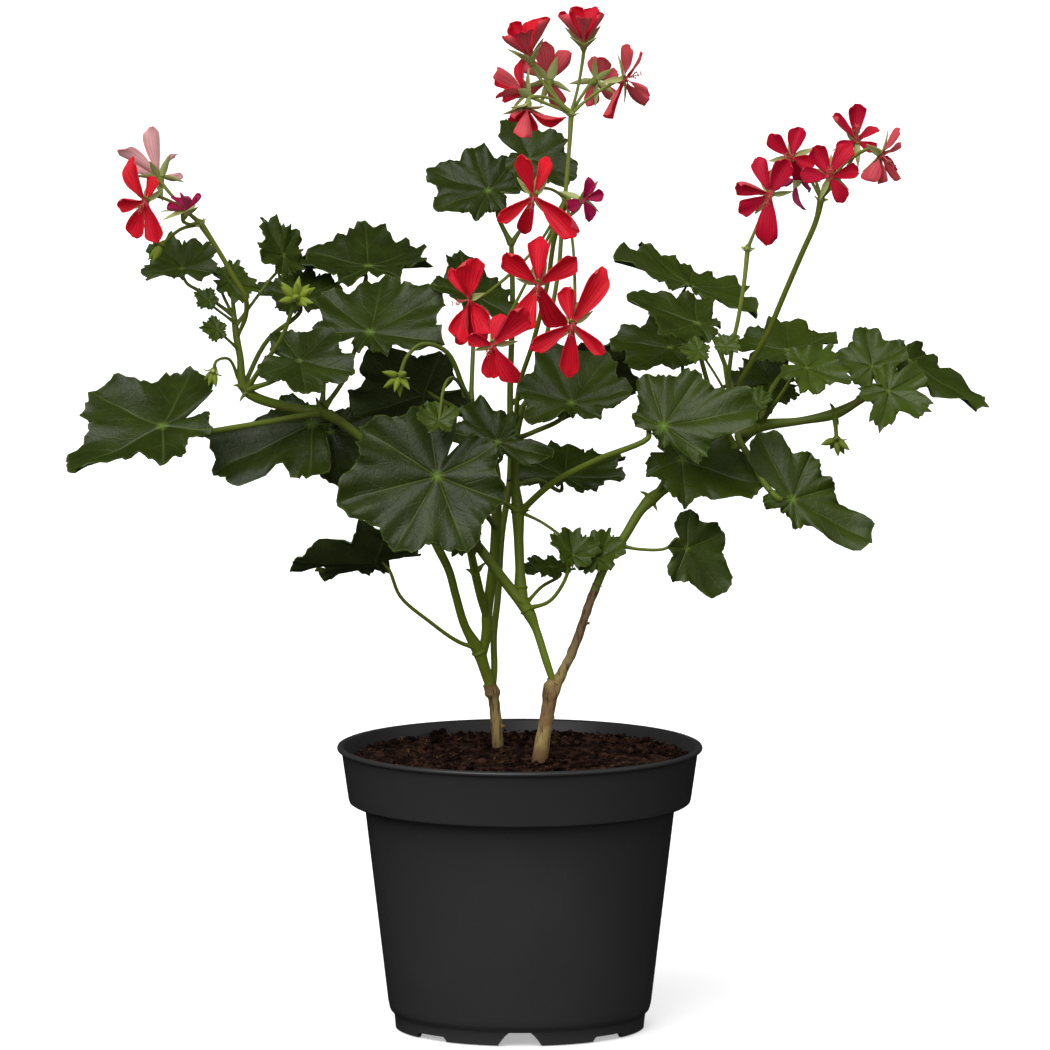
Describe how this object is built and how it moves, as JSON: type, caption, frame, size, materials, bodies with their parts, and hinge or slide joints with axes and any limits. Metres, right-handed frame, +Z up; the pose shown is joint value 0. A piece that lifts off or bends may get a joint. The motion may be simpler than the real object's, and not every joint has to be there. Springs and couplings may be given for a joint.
{
  "type": "potted ivy geranium",
  "caption": "Ivy geranium in flower, with lobed leaves and red umbels, growing from woody bases in a soil-filled round nursery pot.",
  "frame": {"origin": "on the surface that the pot stands on, below the middle of the whole plant's box; the pot's axis is 3.1 mm to the left and 9.9 mm to the front of it", "axes": "+Z up along the pot's axis, -Y towards the front that the flowers face, +X to the right seen from the front"},
  "size_m": [0.3756, 0.1698, 0.4226],
  "materials": {
    "pot_plastic": "black moulded nursery-pot plastic, satin, with faint dust and scuffs",
    "soil": "dark brown fibrous peat with crumbs and wood bits, matt and slightly moist",
    "bark": "pale brown woody bark with fine lengthwise cracks",
    "leaf": "dark green fleshy leaves with paler veins and green stems, soft waxy sheen",
    "stalk": "pale green flower stalks, calyces and buds with a fine down",
    "petal_red": "bright red velvety petals with darker streaks from the throat",
    "petal_pink": "pale pink petal backs, veined",
    "petal_magenta": "deep magenta half-open petals"
  },
  "bodies": {
    "root": {"pot": "pot_plastic", "soil": "soil", "base_left": "bark", "base_right": "bark", "shoot_left": "leaf", "shoot_middle": "leaf", "shoot_back": "leaf", "shoot_low": "leaf", "shoot_right": "leaf", "stalk_top": "stalk", "bloom_top_1": "petal_red", "bloom_top_2": "petal_red", "bloom_top_3": "petal_red", "bloom_top_4": "petal_red", "bloom_top_5": "petal_red", "bloom_top_6": "petal_red", "bloom_top_7": "petal_red", "stalk_centre": "stalk", "bloom_centre_1": "petal_red", "bloom_centre_2": "petal_magenta", "bloom_centre_3": "petal_red", "bloom_centre_4": "petal_red", "bloom_centre_5": "petal_red", "bloom_centre_6": "petal_red", "stalk_left": "stalk", "bloom_left_1": "petal_pink", "bloom_left_2": "petal_red", "bloom_left_3": "petal_magenta", "stalk_right_front": "stalk", "bloom_right_front_1": "petal_red", "stalk_right_back": "stalk", "bloom_right_back_1": "petal_red", "bloom_right_back_2": "petal_red", "bloom_right_back_3": "petal_magenta", "bloom_right_back_4": "petal_red", "bloom_right_back_5": "petal_red"}
  },
  "joints": []
}
